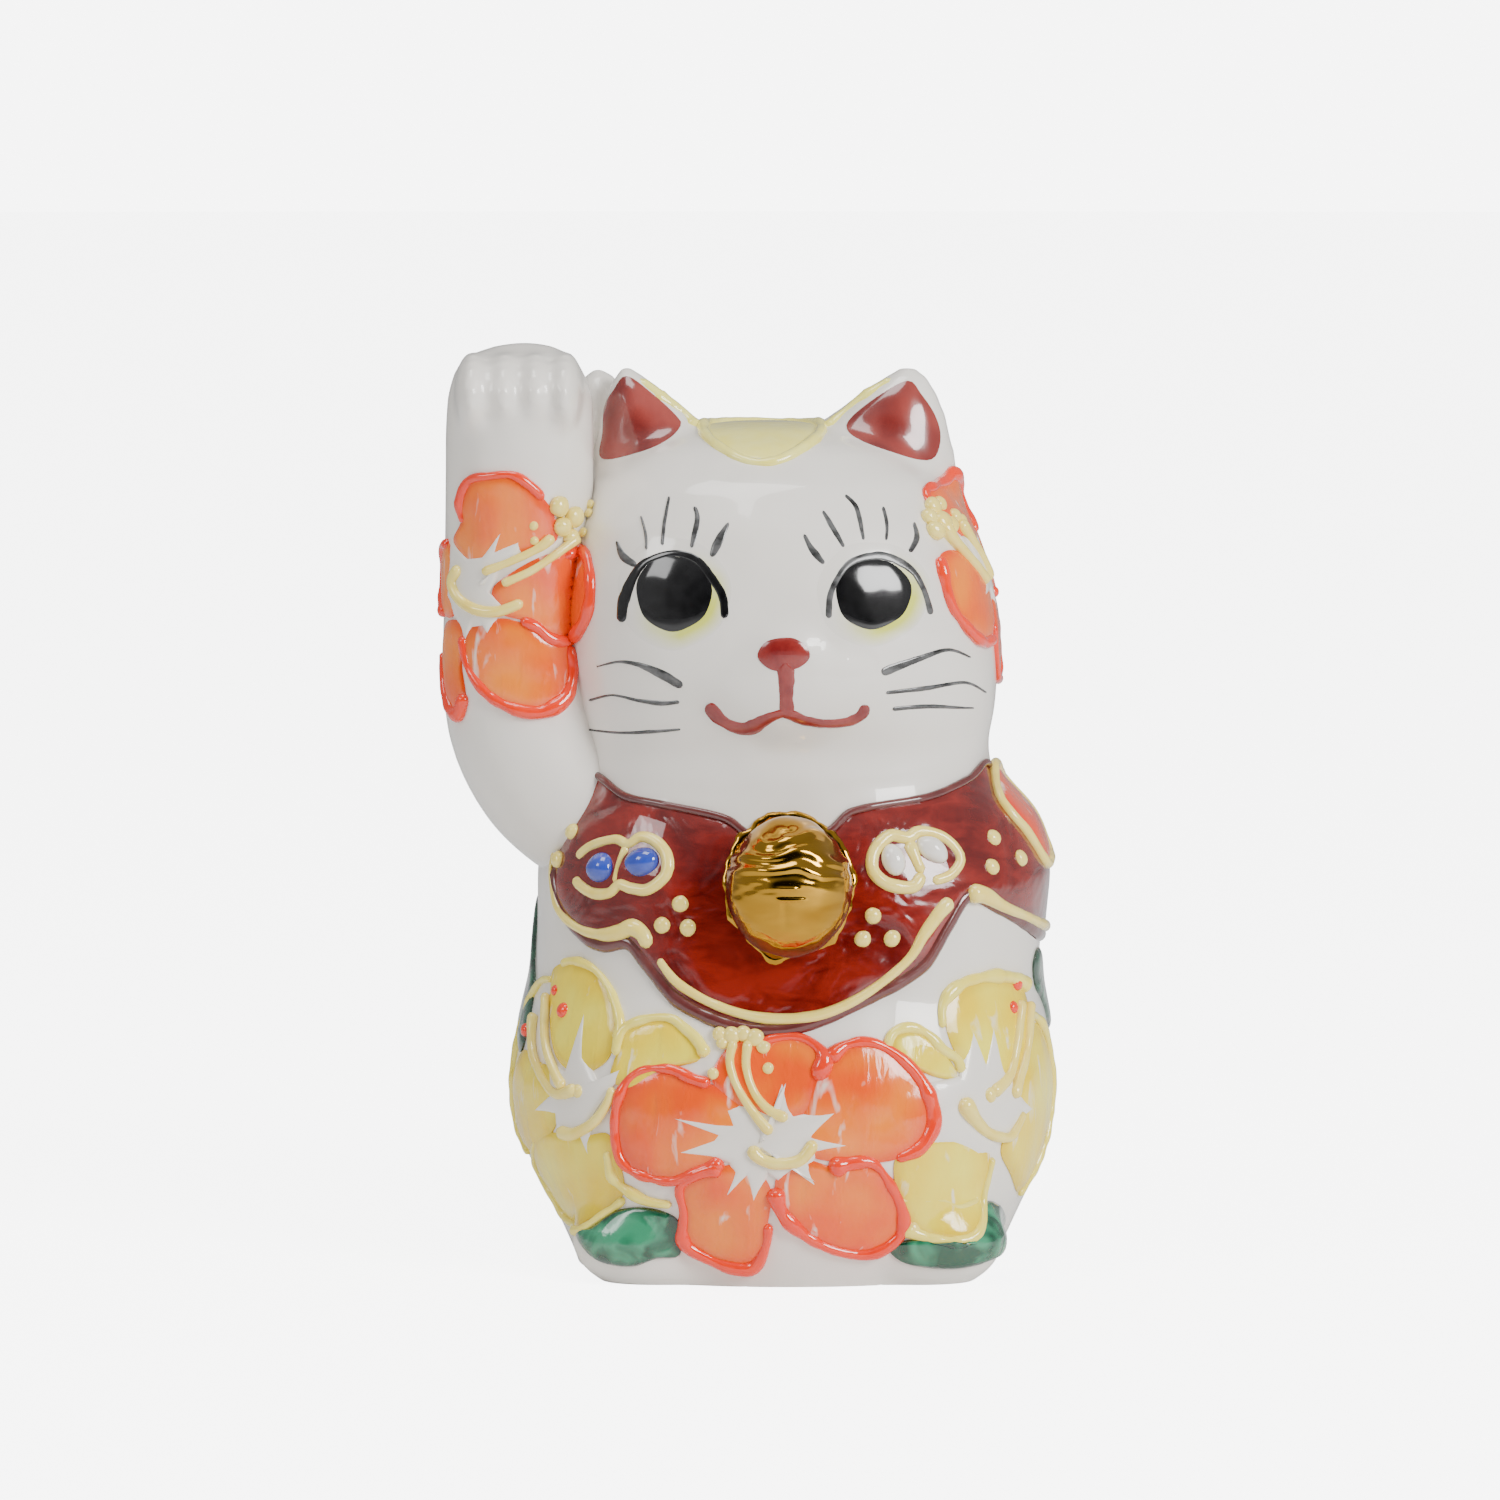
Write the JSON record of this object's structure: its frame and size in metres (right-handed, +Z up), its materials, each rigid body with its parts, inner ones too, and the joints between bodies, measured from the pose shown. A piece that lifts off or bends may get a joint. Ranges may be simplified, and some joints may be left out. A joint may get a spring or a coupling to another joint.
{
  "type": "beckoning cat figurine",
  "caption": "Seated porcelain cat with one paw raised, a red bib with a gold bell, and raised enamel hibiscus flowers; hollow casting that stands on its flat base.",
  "frame": {"origin": "centre of the torso's footprint on the flat base", "axes": "+Z up through the ears; -Y out of the face and bell; +X to the viewer's right when facing the cat"},
  "size_m": [0.068, 0.0617, 0.0999],
  "materials": {
    "porcelain_glaze": "clear glossy glaze over cool white porcelain",
    "ear_red": "glossy brick-red overglaze enamel, brushed",
    "bib_red": "thick glossy dark-red enamel with a raised mauve-brown rim",
    "gold_lustre": "bright gold lustre fired over a raised porcelain ball",
    "cream_enamel": "piped cream-yellow enamel, glossy",
    "blue_enamel": "cobalt-blue glossy enamel drop",
    "white_enamel": "white glossy enamel drop",
    "orange_enamel": "translucent orange enamel, brushed thin with a red-orange piped rim",
    "yellow_enamel": "translucent yellow enamel with a pale piped rim",
    "green_enamel": "deep green translucent enamel",
    "pink_enamel": "coral-pink translucent enamel with a cream piped rim"
  },
  "bodies": {
    "root": {"arm_petal_left": "orange_enamel", "arm_petal_low_left": "orange_enamel", "arm_petal_low_right": "orange_enamel", "arm_petal_right": "orange_enamel", "arm_petal_top": "orange_enamel", "arm_stamen": "cream_enamel", "bell": "gold_lustre", "bib": "bib_red", "bib_dot_01": "cream_enamel", "bib_dot_02": "cream_enamel", "bib_dot_03": "cream_enamel", "bib_dot_04": "cream_enamel", "bib_dot_05": "cream_enamel", "bib_dot_06": "cream_enamel", "bib_dot_07": "cream_enamel", "bib_dot_08": "cream_enamel", "bib_dot_09": "cream_enamel", "bib_dot_10": "cream_enamel", "bib_dot_11": "cream_enamel", "blue_bead_inner": "blue_enamel", "blue_bead_outer": "blue_enamel", "body_casting": "porcelain_glaze", "butterfly_left": "cream_enamel", "butterfly_right": "cream_enamel", "ear_enamel_left": "ear_red", "ear_enamel_right": "ear_red", "forehead_patch": "cream_enamel", "front_arc": "cream_enamel", "front_petal_left": "orange_enamel", "front_petal_low_left": "orange_enamel", "front_petal_low_right": "orange_enamel", "front_petal_right": "orange_enamel", "front_petal_top": "orange_enamel", "front_stamen": "cream_enamel", "head_petal_left": "orange_enamel", "head_petal_low": "orange_enamel", "head_petal_right": "orange_enamel", "head_petal_top": "orange_enamel", "head_stamen": "cream_enamel", "leaf_foot_left": "green_enamel", "leaf_foot_right": "green_enamel", "leaf_side_left": "green_enamel", "leaf_side_right": "green_enamel", "piping_centre": "cream_enamel", "piping_left": "cream_enamel", "piping_right": "cream_enamel", "raised_arm": "porcelain_glaze", "shoulder_flower": "pink_enamel", "tail": "porcelain_glaze", "white_bead_inner": "white_enamel", "white_bead_outer": "white_enamel", "yellow_left_petal_left": "yellow_enamel", "yellow_left_petal_low": "yellow_enamel", "yellow_left_petal_right": "yellow_enamel", "yellow_left_petal_top": "yellow_enamel", "yellow_right_petal_left": "yellow_enamel", "yellow_right_petal_low": "yellow_enamel", "yellow_right_petal_right": "yellow_enamel", "yellow_right_petal_top": "yellow_enamel"}
  },
  "joints": []
}
